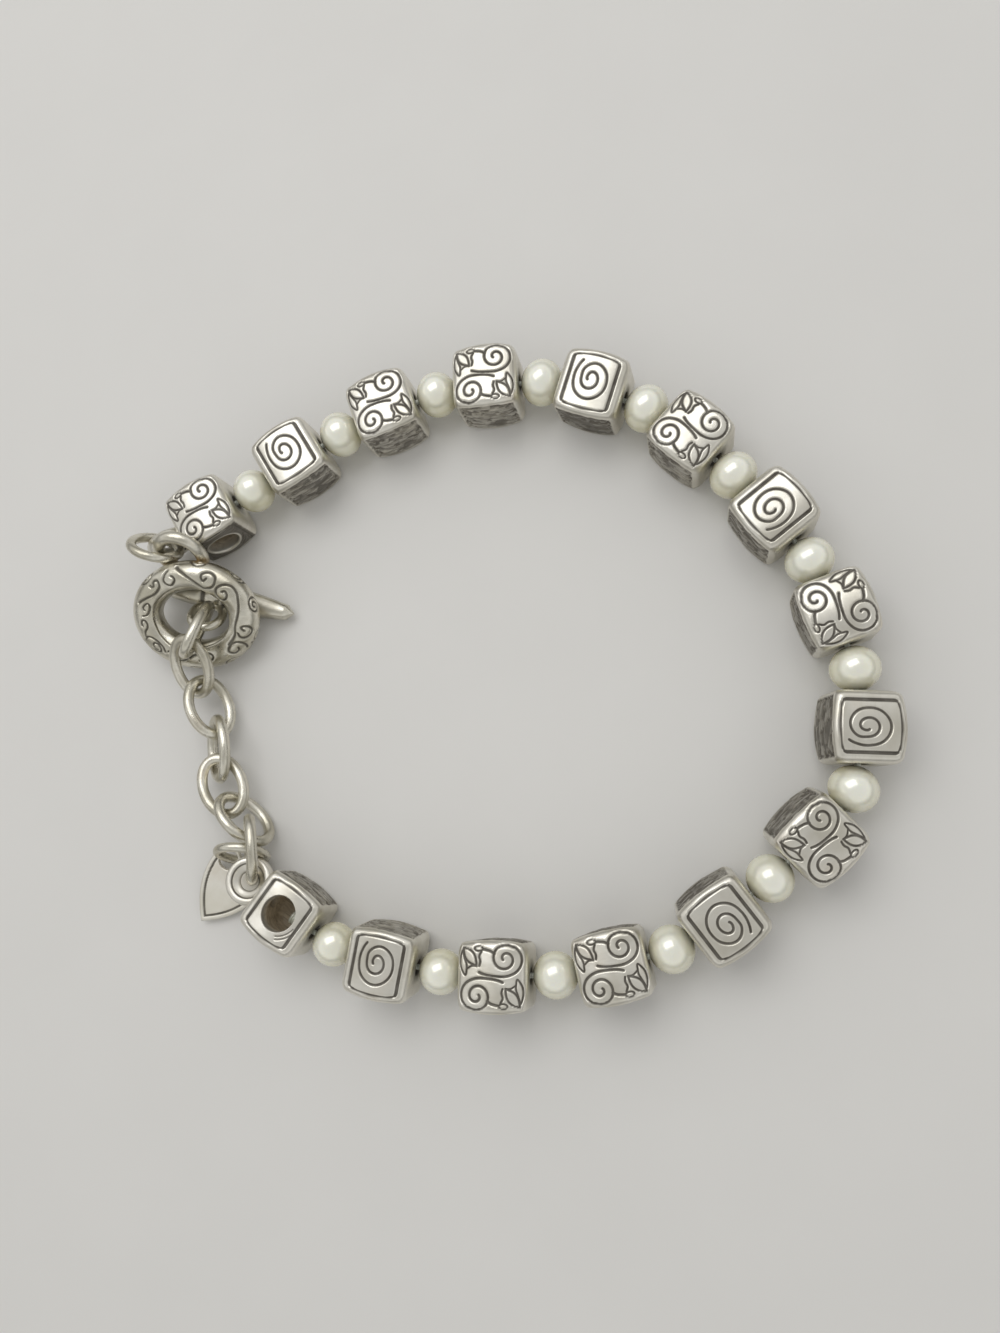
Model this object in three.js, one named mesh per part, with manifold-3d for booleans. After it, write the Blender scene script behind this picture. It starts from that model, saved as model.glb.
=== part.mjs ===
// Beaded bracelet: fifteen square-barrel silver beads and fourteen pearls on one strand,
// closed by a toggle clasp whose bar hangs on a short chain with a heart charm.
// Millimetres, +Z up. The bracelet lies on the plane z = 0, its box centred on the Z axis.
import * as THREE from 'three';
import { mergeVertices } from 'three/addons/utils/BufferGeometryUtils.js';
import Module from 'manifold-3d';

const wasm = await Module();
wasm.setup();

// ---- Driving dimensions ----
const BEAD = { length: 6.6, endWidth: 6.1, midWidth: 7.0, corner: 0.95, rim: 0.6, bore: 0.75 };
const PEARL = { length: 4.4, width: 5.0, bore: 0.7 };
const THREAD_GAP = 0.1;
const PEARL_SWAY = 0.8;
const WIRE = { radius: 0.3, inBead: 0.35 };

const END_CAP = { wall: 1.0, window: 1.7, eyeRadius: 1.65, eyeWire: 0.68, eyeReach: 2.1 };
const CRIMP = { length: 1.5, radius: 0.85, bore: 0.45, inset: 0.35, tail: 0.25 };

const TOGGLE_RING = { a: 5.45, b: 4.25, radial: 1.7, height: 1.45 };
const SOLDERED_LOOP = { radius: 2.4, wire: 0.7 };
const TOGGLE_BAR = { halfLength: 8.8, radius: 1.6, tip: 0.7, taper: 1.8 };
const BAR_STATIONS = [-1, -0.7, -0.25, 0.25, 0.7, 1];
const BAR_LOOP = { radius: 1.65, wire: 0.5, reach: 2.95, roll: -35 };
const LINK = { a: 3.1, b: 2.1, wire: 0.6 };
const JUMP_RING = { radius: 2.52, wire: 0.55 };
const CHARM_RING = { radius: 2.52, wire: 0.5 };
const CHARM = { lobeAt: 6.7, lobeSide: 1.6, lobe: 1.64, thickness: 0.55 };
const CHARM_HOLE = { radius: 1.1, at: 7.0, side: 1.62 };

const FACETS = {
  corner: 2, beadSteps: 5, boreSides: 8, windowSides: 16, pearlArc: 7, pearlTurns: 12, crimpTurns: 12,
  wireSides: 6, wireSteps: 84, ringTurns: 18, toggleSides: 8, toggleTurns: 24, barSides: 10, heartArc: 7,
};

// ---- Materials ----
const silver = new THREE.MeshStandardMaterial({ color: 0xd8d5cb, roughness: 0.35, metalness: 1.0 });
const pearlWhite = new THREE.MeshStandardMaterial({ color: 0xeeebdd, roughness: 0.25, metalness: 0.0 });
const steelWire = new THREE.MeshStandardMaterial({ color: 0xa0a09c, roughness: 0.4, metalness: 1.0 });

// ---- Solid helpers ----
const rad = THREE.MathUtils.degToRad;

function toSolid(geometry) {
  geometry.deleteAttribute('normal');
  geometry.deleteAttribute('uv');
  const merged = mergeVertices(geometry, 1e-4);
  return new wasm.Manifold(new wasm.Mesh({
    numProp: 3,
    vertProperties: new Float32Array(merged.attributes.position.array),
    triVerts: new Uint32Array(merged.index.array),
  }));
}

function toGeometry(solid) {
  const mesh = solid.getMesh();
  const geometry = new THREE.BufferGeometry();
  geometry.setAttribute('position', new THREE.BufferAttribute(mesh.vertProperties, 3));
  geometry.setIndex(new THREE.BufferAttribute(mesh.triVerts, 1));
  return geometry;
}

function join(first, ...others) {
  return toGeometry(others.reduce((whole, other) => whole.add(toSolid(other)), toSolid(first)));
}

function cut(geometry, ...tools) {
  return toGeometry(tools.reduce((whole, tool) => whole.subtract(toSolid(tool)), toSolid(geometry)));
}

function mapVertices(geometry, move) {
  const position = geometry.attributes.position;
  const point = new THREE.Vector3();
  for (let i = 0; i < position.count; i += 1) {
    point.fromBufferAttribute(position, i);
    move(point);
    position.setXYZ(i, point.x, point.y, point.z);
  }
  return geometry;
}

function rod(radius, length, sides) {
  return new THREE.CylinderGeometry(radius, radius, length, sides);
}

// Closed ring on an ellipse with half-axes a and b in the XY plane. Its section is an oval,
// `radial` half-wide in that plane and `height` half-high along Z, the same all the way round.
function ovalRing({ a, b, radial, height = radial, sides = FACETS.wireSides, turns = FACETS.ringTurns }) {
  const core = 2;
  return mapVertices(new THREE.TorusGeometry(core, 1, sides, turns), (p) => {
    const angle = Math.atan2(p.y, p.x);
    const outward = (Math.hypot(p.x, p.y) - core) * radial;
    const normal = new THREE.Vector2(Math.cos(angle) / a, Math.sin(angle) / b).normalize();
    p.set(
      a * Math.cos(angle) + normal.x * outward,
      b * Math.sin(angle) + normal.y * outward,
      p.z * height,
    );
  });
}

function roundRing(radius, wire, turns = FACETS.ringTurns) {
  return ovalRing({ a: radius, b: radius, radial: wire, turns });
}

// Square outline with round corners, `width` across.
function roundedSquare(width, corner) {
  const flat = width / 2 - corner;
  const shape = new THREE.Shape();
  for (let quarter = 0; quarter < 4; quarter += 1) {
    const start = quarter * Math.PI / 2;
    const middle = start + Math.PI / 4;
    const centre = new THREE.Vector2(Math.cos(middle), Math.sin(middle)).multiplyScalar(flat * Math.SQRT2);
    if (quarter === 0) shape.moveTo(centre.x + corner, centre.y);
    else shape.lineTo(centre.x + corner * Math.cos(start), centre.y + corner * Math.sin(start));
    shape.absarc(centre.x, centre.y, corner, start, start + Math.PI / 2, false);
  }
  return shape;
}

// ---- Silver beads: the thread runs along X, +Z is the top face and +Y the outer side ----
function beadBody() {
  const bevel = BEAD.rim / BEAD.endWidth;
  const endFace = roundedSquare(1 - 2 * bevel, BEAD.corner / BEAD.midWidth - bevel);
  const body = new THREE.ExtrudeGeometry(endFace, {
    depth: BEAD.length - 2 * BEAD.rim,
    steps: FACETS.beadSteps,
    curveSegments: FACETS.corner,
    bevelThickness: BEAD.rim,
    bevelSize: bevel,
    bevelSegments: 1,
  });
  body.translate(0, 0, BEAD.rim - BEAD.length / 2);
  body.rotateY(Math.PI / 2);
  return mapVertices(body, (p) => {
    const s = 2 * p.x / BEAD.length;
    const width = BEAD.midWidth - (BEAD.midWidth - BEAD.endWidth) * s * s;
    p.y *= width;
    p.z *= width;
  });
}

function plainBead() {
  const bore = rod(BEAD.bore, BEAD.length + 2, FACETS.boreSides).rotateZ(Math.PI / 2);
  return cut(beadBody(), bore);
}

// The end cap's window opens its top face, its bore is on -X and its eye ring stands on +X.
function endCap() {
  const cavityWidth = BEAD.endWidth - 2 * END_CAP.wall;
  const cavity = new THREE.BoxGeometry(BEAD.length - 2 * END_CAP.wall, cavityWidth, cavityWidth);
  const window = rod(END_CAP.window, BEAD.midWidth, FACETS.windowSides).rotateX(Math.PI / 2);
  window.translate(0, 0, BEAD.midWidth / 2);
  const bore = rod(BEAD.bore, BEAD.length, FACETS.boreSides).rotateZ(Math.PI / 2);
  bore.translate(-BEAD.length / 2, 0, 0);
  const eye = roundRing(END_CAP.eyeRadius, END_CAP.eyeWire);
  eye.translate(BEAD.length / 2 + END_CAP.eyeReach, 0, 0);
  return cut(join(beadBody(), eye), cavity, window, bore);
}

// ---- Pearls ----
function pearl() {
  const profile = [];
  const rim = Math.asin(2 * PEARL.bore / PEARL.width);
  for (let i = 0; i <= FACETS.pearlArc; i += 1) {
    const angle = rim + (Math.PI - 2 * rim) * i / FACETS.pearlArc;
    profile.push(new THREE.Vector2(
      PEARL.width / 2 * Math.sin(angle),
      -PEARL.length / 2 * Math.cos(angle) / Math.cos(rim),
    ));
  }
  profile.push(profile[0].clone());
  return new THREE.LatheGeometry(profile, FACETS.pearlTurns).rotateZ(-Math.PI / 2);
}

function crimp() {
  const { bore, radius, length } = CRIMP;
  const corners = [[bore, 0], [radius, 0], [radius, length], [bore, length], [bore, 0]];
  const profile = corners.map(([r, along]) => new THREE.Vector2(r, along - length / 2));
  return new THREE.LatheGeometry(profile, FACETS.crimpTurns).rotateZ(-Math.PI / 2);
}

// ---- The strand: one row a silver bead, in threading order ----
// turn: change of direction from the bead before, seen from above, in degrees.
// lean: how far the bead's top tips towards the outside of the loop, in degrees.
// The first bead is rolled a quarter turn, so its window faces into the loop.
const STRAND_START = { x: -29.55, y: 16.65, heading: 29 };
const STRAND = [
  { turn: 0, lean: 0 },
  { turn: 2, lean: -3 },
  { turn: -12, lean: 0 },
  { turn: -17, lean: 0 },
  { turn: -21, lean: -5 },
  { turn: -24, lean: 0 },
  { turn: -9, lean: 0 },
  { turn: -19, lean: 0 },
  { turn: -21, lean: 10 },
  { turn: -44, lean: 11 },
  { turn: -7, lean: 6 },
  { turn: -24, lean: -3 },
  { turn: -13, lean: -5 },
  { turn: -11, lean: 2 },
  { turn: -24, lean: -5 },
];

const bracelet = new THREE.Group();

function addMesh(name, geometry, material) {
  const mesh = new THREE.Mesh(geometry, material);
  mesh.name = name;
  bracelet.add(mesh);
  return mesh;
}

function label(stem, number) {
  return `${stem}_${String(number).padStart(2, '0')}`;
}

// Height of a leaning bead's centre when its lowest corner or flat touches the ground.
function restHeight(lean) {
  const tip = Math.abs(rad(lean));
  const s = (1 - 2 * BEAD.rim / BEAD.length) / FACETS.beadSteps;
  const half = (BEAD.midWidth - (BEAD.midWidth - BEAD.endWidth) * s * s) / 2;
  const corner = BEAD.corner * half * 2 / BEAD.midWidth;
  return (half - corner) * (Math.cos(tip) + Math.sin(tip)) + corner;
}

const direction = (degrees) => new THREE.Vector3(Math.cos(rad(degrees)), Math.sin(rad(degrees)), 0);

const beadGeometry = plainBead();
const endCapGeometry = endCap();
const pearlGeometry = pearl();
const crimpGeometry = crimp();
const strandPoints = [];
let heading = STRAND_START.heading;
let face = null;
let wireEnds = [];

STRAND.forEach(({ turn, lean }, i) => {
  const last = heading;
  heading += turn;
  const isCap = i === 0 || i === STRAND.length - 1;
  const forward = direction(heading);
  const height = restHeight(lean);
  let centre;
  if (i === 0) {
    centre = new THREE.Vector3(STRAND_START.x, STRAND_START.y, height);
  } else {
    const across = direction((last + heading) / 2);
    const pearlCentre = face.clone().addScaledVector(across, THREAD_GAP + PEARL.length / 2);
    const sway = PEARL_SWAY * Math.sin(rad(-turn) / 2);
    pearlCentre.addScaledVector(direction((last + heading) / 2 + 90), sway);
    pearlCentre.z = (face.z + height) / 2;
    const pearlMesh = addMesh(label('pearl', i), pearlGeometry, pearlWhite);
    pearlMesh.position.copy(pearlCentre);
    pearlMesh.rotation.z = rad((last + heading) / 2);
    strandPoints.push(pearlCentre);
    centre = face.clone().addScaledVector(across, 2 * THREAD_GAP + PEARL.length);
    centre.addScaledVector(forward, BEAD.length / 2);
    centre.z = height;
  }
  const name = isCap ? label('end_bead', i + 1) : label('silver_bead', i + 1);
  const bead = addMesh(name, isCap ? endCapGeometry : beadGeometry, silver);
  bead.position.copy(centre);
  bead.rotation.set(-rad(lean), 0, rad(heading), 'ZYX');
  if (i === 0) bead.rotation.set(rad(-90), 0, rad(heading + 180), 'ZYX');
  if (isCap) {
    const inward = i === 0 ? forward : forward.clone().negate();
    const crimpAt = BEAD.length / 2 - END_CAP.wall - CRIMP.inset - CRIMP.length / 2;
    const crimpMesh = addMesh(label('crimp', i + 1), crimpGeometry, steelWire);
    crimpMesh.position.copy(centre).addScaledVector(inward, crimpAt);
    crimpMesh.rotation.z = rad(heading);
    const wireEnd = centre.clone().addScaledVector(inward, crimpAt - CRIMP.length / 2 - CRIMP.tail);
    const wireBore = centre.clone().addScaledVector(inward, BEAD.length / 2);
    strandPoints.push(...(i === 0 ? [wireEnd, wireBore] : [wireBore, wireEnd]));
  } else {
    for (const along of [-WIRE.inBead, WIRE.inBead]) {
      strandPoints.push(centre.clone().addScaledVector(forward, along * BEAD.length));
    }
  }
  face = centre.clone().addScaledVector(forward, BEAD.length / 2);
});

function beadingWire() {
  const route = new THREE.CatmullRomCurve3(strandPoints, false, 'centripetal');
  const section = new THREE.Shape();
  section.absarc(0, 0, WIRE.radius, 0, 2 * Math.PI, false);
  return new THREE.ExtrudeGeometry(section, {
    steps: FACETS.wireSteps,
    curveSegments: FACETS.wireSides,
    extrudePath: route,
  });
}
addMesh('beading_wire', beadingWire(), steelWire);

// ---- Toggle clasp ----
// Puts a piece at a point: heading turns its X axis seen from above, pitch lifts that axis,
// and lean turns the piece about it. All in degrees.
function place(mesh, { at, heading: yaw, pitch = 0, lean = 0 }) {
  mesh.position.set(...at);
  mesh.rotation.set(rad(lean), -rad(pitch), rad(yaw), 'ZYX');
  return mesh;
}

const RING_PLACE = { at: [-30.7, 5.95, 3.8], heading: 0, lean: 26 };
const LOOP_PLACE = { at: [-31.55, 12.1, 6.1], heading: 173, pitch: 1, lean: 121 };

// The loop is soldered to the ring, so it is built in the ring's own frame.
function toggleRing() {
  const ring = ovalRing({ ...TOGGLE_RING, sides: FACETS.toggleSides, turns: FACETS.toggleTurns });
  const loop = roundRing(SOLDERED_LOOP.radius, SOLDERED_LOOP.wire);
  const ringFrame = place(new THREE.Object3D(), RING_PLACE);
  const loopFrame = place(new THREE.Object3D(), LOOP_PLACE);
  ringFrame.updateMatrix();
  loopFrame.updateMatrix();
  loop.applyMatrix4(ringFrame.matrix.clone().invert().multiply(loopFrame.matrix));
  return join(ring, loop);
}
place(addMesh('toggle_ring', toggleRing(), silver), RING_PLACE);

function spearBar() {
  const { halfLength, radius, tip } = TOGGLE_BAR;
  const profile = [new THREE.Vector2(0, -halfLength)];
  for (const s of BAR_STATIONS) {
    const slimming = (radius - tip) * Math.abs(s) ** TOGGLE_BAR.taper;
    profile.push(new THREE.Vector2(radius - slimming, s * (halfLength - tip)));
  }
  profile.push(new THREE.Vector2(0, halfLength));
  return new THREE.LatheGeometry(profile, FACETS.barSides).rotateZ(-Math.PI / 2);
}

// The shaft with the eye ring the chain is hooked to, rolled up off the ground.
function toggleBar() {
  const eye = roundRing(BAR_LOOP.radius, BAR_LOOP.wire).translate(0, -BAR_LOOP.reach, 0);
  return join(spearBar(), eye.rotateX(rad(BAR_LOOP.roll)));
}
place(addMesh('toggle_bar', toggleBar(), silver), { at: [-29.25, 8.3, 1.66], heading: -14, pitch: -4 });

// ---- Jump rings and chain ----
const linkGeometry = ovalRing({ a: LINK.a, b: LINK.b, radial: LINK.wire });
const CHAIN = [
  { at: [-29.71, 4.05, 5.38], heading: -97.8, pitch: 33.6, lean: 62.8 },
  { at: [-30.79, 0.35, 4.13], heading: -88.2, pitch: -29.9, lean: 13.3 },
  { at: [-29.25, -3.85, 2.8], heading: -68, pitch: -2, lean: -45 },
  { at: [-28.15, -8.3, 2.55], heading: -84, pitch: -1, lean: 47 },
  { at: [-27.5, -12.2, 2.55], heading: -63, pitch: 2, lean: -6 },
  { at: [-25.0, -15.6, 2.46], heading: -42, pitch: -11.5, lean: -59 },
  { at: [-23.52, -18.69, 3.88], heading: -87, pitch: -4.4, lean: 62.5 },
];
CHAIN.forEach((where, i) => {
  place(addMesh(`chain_link_${i}`, linkGeometry, silver), where);
});

place(addMesh('ring_link', roundRing(JUMP_RING.radius, JUMP_RING.wire), silver), {
  at: [-34.76, 13.06, 5.74], heading: -22.5, pitch: -5.6, lean: -60.2,
});
place(addMesh('charm_ring', roundRing(CHARM_RING.radius, CHARM_RING.wire), silver), {
  at: [-24.94, -19.21, 2.82], heading: 0, pitch: 0, lean: 71,
});

// ---- Heart charm: its tip is at the origin and its axis runs along X ----
function heartCharm() {
  const { lobeAt, lobeSide, lobe, thickness } = CHARM;
  const halfWidth = lobeSide + lobe;
  const cleft = Math.acos(lobeSide / lobe);
  const shape = new THREE.Shape();
  shape.moveTo(0, 0);
  shape.bezierCurveTo(0.24 * lobeAt, -0.52 * halfWidth, 0.52 * lobeAt, -halfWidth, lobeAt, -halfWidth);
  shape.absarc(lobeAt, -lobeSide, lobe, -Math.PI / 2, Math.PI / 2 - cleft, false);
  shape.absarc(lobeAt, lobeSide, lobe, cleft - Math.PI / 2, Math.PI / 2, false);
  shape.bezierCurveTo(0.52 * lobeAt, halfWidth, 0.24 * lobeAt, 0.52 * halfWidth, 0, 0);
  const hole = new THREE.Path();
  hole.absarc(CHARM_HOLE.at, CHARM_HOLE.side, CHARM_HOLE.radius, 0, 2 * Math.PI, true);
  shape.holes.push(hole);
  return new THREE.ExtrudeGeometry(shape, {
    depth: thickness,
    curveSegments: FACETS.heartArc,
    bevelEnabled: false,
  });
}
place(addMesh('heart_charm', heartCharm(), silver), {
  at: [-30.2, -26.13, 0.47], heading: 50.2, pitch: 4.7, lean: 7,
});

// ---- Set the whole bracelet on z = 0 with its box centred on the Z axis ----
bracelet.updateMatrixWorld(true);
const box = new THREE.Box3().setFromObject(bracelet, true);
const middle = box.getCenter(new THREE.Vector3());
bracelet.position.set(-middle.x, -middle.y, -box.min.z);

export default bracelet;
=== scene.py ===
import math

import bmesh
import bpy
import numpy as np
from mathutils import Matrix, Vector
from mathutils.geometry import delaunay_2d_cdt


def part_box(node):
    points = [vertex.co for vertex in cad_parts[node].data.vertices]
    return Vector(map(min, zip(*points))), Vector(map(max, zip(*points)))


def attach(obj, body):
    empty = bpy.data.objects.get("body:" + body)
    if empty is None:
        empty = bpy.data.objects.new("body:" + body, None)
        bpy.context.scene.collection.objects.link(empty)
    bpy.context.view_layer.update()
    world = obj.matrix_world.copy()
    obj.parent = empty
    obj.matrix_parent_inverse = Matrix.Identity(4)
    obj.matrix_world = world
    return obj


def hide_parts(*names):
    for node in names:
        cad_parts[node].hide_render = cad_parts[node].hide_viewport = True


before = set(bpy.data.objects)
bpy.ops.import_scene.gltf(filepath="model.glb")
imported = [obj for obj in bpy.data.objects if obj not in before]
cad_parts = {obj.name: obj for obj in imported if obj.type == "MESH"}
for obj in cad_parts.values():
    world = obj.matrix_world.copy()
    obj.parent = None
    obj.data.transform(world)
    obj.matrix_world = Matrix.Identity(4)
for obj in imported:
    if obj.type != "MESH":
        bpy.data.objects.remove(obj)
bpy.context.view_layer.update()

MM = 0.001


# ---- dimensions, in millimetres ----
BEAD_LENGTH, BEAD_END, BEAD_MID, BEAD_CORNER, BEAD_RIM, BEAD_BORE = 6.6, 6.1, 7.0, 0.95, 0.6, 0.75
PEARL_LENGTH, PEARL_WIDTH, PEARL_BORE = 4.4, 5.0, 0.4
THREAD_GAP, PEARL_SWAY, WIRE_RADIUS = 0.1, 0.8, 0.26
CAP_WALL, WINDOW, EYE_RADIUS, EYE_WIRE, EYE_REACH = 1.0, 1.7, 1.65, 0.68, 2.1
CRIMP_LENGTH, CRIMP_RADIUS, CRIMP_BORE, CRIMP_INSET, CRIMP_TAIL = 1.5, 0.85, 0.4, 0.35, 0.25
RING_A, RING_B, RING_WIRE, RING_HEIGHT = 5.45, 4.25, 1.7, 1.45
LOOP_RADIUS, LOOP_WIRE = 2.4, 0.7
BAR_HALF, BAR_RADIUS, BAR_TIP, BAR_TAPER = 8.8, 1.6, 0.85, 2.0
EYE_LOOP, EYE_LOOP_WIRE, EYE_LOOP_REACH, EYE_LOOP_ROLL = 1.65, 0.5, 2.95, -35
LINK_A, LINK_B, LINK_WIRE = 3.1, 2.1, 0.6
JUMP_RADIUS, JUMP_WIRE, CHARM_RING_WIRE = 2.52, 0.55, 0.5
LOBE_AT, LOBE_SIDE, LOBE, CHARM_THICK = 6.7, 1.6, 1.64, 0.55
CHARM_HOLE, CHARM_HOLE_AT, CHARM_HOLE_SIDE = 1.1, 7.0, 1.62

# How much of its CAD size a fine piece keeps, so that its uneven surface stays inside.
RING_FIT, SOLDERED_FIT, TURNED_FIT, LINK_FIT = 0.995, 0.98, 0.985, 0.97
# Depths of the engraved lines on the bead faces, of the frame round them and on the toggle ring.
STROKE_DEPTH, FRAME_DEPTH, RING_STROKE_DEPTH = 0.15, 0.17, 0.2

# The strand, one row a silver bead: turn from the bead before, lean outwards, design of its top face.
START_X, START_Y, START_HEADING = -29.55, 16.65, 29.0
FIRST_BEAD_ROLL = -90
STRAND = [
    (0, 0, "scroll"), (2, -3, "spiral"), (-12, 0, "scroll"), (-17, 0, "scroll"), (-21, -5, "spiral"),
    (-24, 0, "scroll"), (-9, 0, "spiral_turned"), (-19, 0, "scroll"), (-21, 10, "spiral_turned"),
    (-44, 11, "scroll"), (-7, 6, "spiral"), (-24, -3, "scroll"), (-13, -5, "scroll"),
    (-11, 2, "spiral_turned"), (-24, -5, "window"),
]
# Clasp pieces: x, y, z of the centre, heading, pitch, lean.
RING_PLACE = (-30.7, 5.95, 3.8, 0, 0, 26)
LOOP_PLACE = (-31.55, 12.1, 6.1, 173, 1, 121)
BAR_PLACE = (-29.25, 8.3, 1.66, -14, -4, 0)
CHAIN = [
    (-29.71, 4.05, 5.38, -97.8, 33.6, 62.8),
    (-30.79, 0.35, 4.13, -88.2, -29.9, 13.3),
    (-29.25, -3.85, 2.8, -68, -2, -45),
    (-28.15, -8.3, 2.55, -84, -1, 47),
    (-27.5, -12.2, 2.55, -63, 2, -6),
    (-25.0, -15.6, 2.46, -42, -11.5, -59),
    (-23.52, -18.69, 3.88, -87, -4.4, 62.5),
]
RING_LINK = (-34.76, 13.06, 5.74, -22.5, -5.6, -60.2)
CHARM_RING = (-24.94, -19.21, 2.82, 0, 0, 71)
HEART = (-30.2, -26.13, 0.47, 50.2, 4.7, 7)


# ---- small helpers ----
def smooth(a, b, x):
    """0 at a and 1 at b, with a soft start and end."""
    t = np.clip((x - a) / (b - a), 0.0, 1.0)
    return t * t * (3 - 2 * t)


def value_noise(x, y, seed):
    """Smooth noise in 0..1 at the points (x, y), one feature a unit."""
    size = 64
    table = np.random.RandomState(seed).rand(size, size)
    xi, yi = np.floor(x).astype(int), np.floor(y).astype(int)
    fx, fy = smooth(0, 1, x - xi), smooth(0, 1, y - yi)
    low = table[xi % size, yi % size] * (1 - fx) + table[(xi + 1) % size, yi % size] * fx
    high = table[xi % size, (yi + 1) % size] * (1 - fx) + table[(xi + 1) % size, (yi + 1) % size] * fx
    return low * (1 - fy) + high * fy


def place_matrix(x, y, z, heading, pitch=0.0, lean=0.0):
    """Place in millimetres and turn in degrees."""
    turn = Matrix.Rotation(math.radians(heading), 4, "Z")
    lift = Matrix.Rotation(math.radians(-pitch), 4, "Y")
    roll = Matrix.Rotation(math.radians(lean), 4, "X")
    return Matrix.Translation((x, y, z)) @ turn @ lift @ roll


def direction(degrees):
    """Unit vector in the ground plane."""
    return np.array([math.cos(math.radians(degrees)), math.sin(math.radians(degrees)), 0.0])


def grid(points, wrap_rows=False, **attributes):
    """Quads over an array of rows x columns x 3, each row closed round."""
    rows, columns = points.shape[:2]
    index = np.arange(rows * columns).reshape(rows, columns)
    i = np.arange(rows if wrap_rows else rows - 1)
    j = np.arange(columns)
    a = index[np.ix_(i, j)]
    b = index[np.ix_((i + 1) % rows, j)]
    c = index[np.ix_((i + 1) % rows, (j + 1) % columns)]
    d = index[np.ix_(i, (j + 1) % columns)]
    quads = np.stack([a, b, c, d], -1).reshape(-1, 4)
    values = {k: np.broadcast_to(v, (rows, columns)).reshape(-1) for k, v in attributes.items()}
    return points.reshape(-1, 3), [tuple(q) for q in quads.tolist()], values


def moved(part, matrix):
    """A part (its points, faces and attribute values) set elsewhere."""
    points, faces, values = part
    m = np.array(matrix)
    return points @ m[:3, :3].T + m[:3, 3], faces, values


def turn_outwards(mesh, weld=0.0):
    """Faces outwards; points nearer than weld, in metres, become one."""
    solid = bmesh.new()
    solid.from_mesh(mesh)
    if weld:
        bmesh.ops.remove_doubles(solid, verts=solid.verts, dist=weld)
    bmesh.ops.recalc_face_normals(solid, faces=solid.faces)
    solid.to_mesh(mesh)
    solid.free()
    mesh.shade_smooth()


def make_mesh(name, parts, material):
    """One mesh from parts given in millimetres, with the marks that its material reads."""
    points = np.concatenate([p[0] for p in parts]) * MM
    faces, start = [], 0
    for p in parts:
        faces += [tuple(v + start for v in f) for f in p[1]]
        start += len(p[0])
    mesh = bpy.data.meshes.new(name)
    mesh.from_pydata(points.tolist(), [], faces)
    turn_outwards(mesh)
    for key in ("groove", "bark_and_shade", "wear", "chamber", "solder"):
        values = np.concatenate([p[2].get(key, np.zeros(len(p[0]))) for p in parts])
        mesh.attributes.new(key, "FLOAT", "POINT").data.foreach_set("value", values.astype(np.float32))
    mesh.materials.append(material)
    return mesh


def place_object(name, mesh, matrix):
    """Sets a copy of the mesh in the frame; "local" keeps the piece's own coordinates for its material."""
    own = mesh.copy()
    own.name = name
    coordinates = np.empty(3 * len(own.vertices), np.float32)
    own.vertices.foreach_get("co", coordinates)
    own.attributes.new("local", "FLOAT_VECTOR", "POINT").data.foreach_set("vector", coordinates)
    scaled = matrix.copy()
    scaled.translation = (matrix.translation + SHIFT) * MM
    own.transform(scaled)
    obj = bpy.data.objects.new(name, own)
    bpy.context.scene.collection.objects.link(obj)
    return obj


def finish_piece(obj, node):
    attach(obj, "root")
    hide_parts(node)


# ---- strokes engraved on a face ----
def segment_distance(x, y, line):
    """Distance from each point to a polyline."""
    best = np.full(x.shape, 1e9)
    for (ax, ay), (bx, by) in zip(line[:-1], line[1:]):
        dx, dy = bx - ax, by - ay
        t = np.clip(((x - ax) * dx + (y - ay) * dy) / (dx * dx + dy * dy + 1e-12), 0, 1)
        best = np.minimum(best, np.hypot(x - ax - t * dx, y - ay - t * dy))
    return best


def curve(points, per_piece=8):
    """A smooth line through a few points (Catmull-Rom)."""
    p = np.array([points[0]] + list(points) + [points[-1]], float)
    out = []
    for k in range(1, len(p) - 2):
        for t in np.linspace(0, 1, per_piece, endpoint=False):
            a = 2 * p[k] + (p[k + 1] - p[k - 1]) * t
            b = (2 * p[k - 1] - 5 * p[k] + 4 * p[k + 1] - p[k + 2]) * t * t
            c = (3 * p[k] - p[k - 1] - 3 * p[k + 1] + p[k + 2]) * t ** 3
            out.append((a + b + c) / 2)
    out.append(p[-2])
    return [tuple(q) for q in out]


def spiral_line(centre, r0, per_turn, start, turns, steps=26):
    """A spiral that opens clockwise, angles in degrees."""
    n = int(turns * steps)
    out = []
    for k in range(n + 1):
        done = turns * k / n
        angle = math.radians(start - 360 * done)
        r = r0 + per_turn * done
        out.append((centre[0] + r * math.cos(angle), centre[1] + r * math.sin(angle)))
    return out


def leaf(tip_a, tip_b, fat, n=10):
    """Both edges of a pointed leaf."""
    a, b = np.array(tip_a, float), np.array(tip_b, float)
    side = np.array([-(b - a)[1], (b - a)[0]]) / np.linalg.norm(b - a)
    t = np.linspace(0, 1, n)[:, None]
    bulge = np.sin(np.pi * t) * fat
    left, right = a + (b - a) * t + side * bulge, a + (b - a) * t - side * bulge
    return [tuple(q) for q in np.concatenate([left, right[::-1]])]


def half_turn(line):
    """The same line turned half round the middle of the face."""
    return [(-x, -y) for x, y in line]


# The engraved designs, charted in millimetres on a face: x along the thread, y across it.
FRAME_HALF, FRAME_TALL, FRAME_BOW = 2.37, 2.4, 0.38
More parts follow.
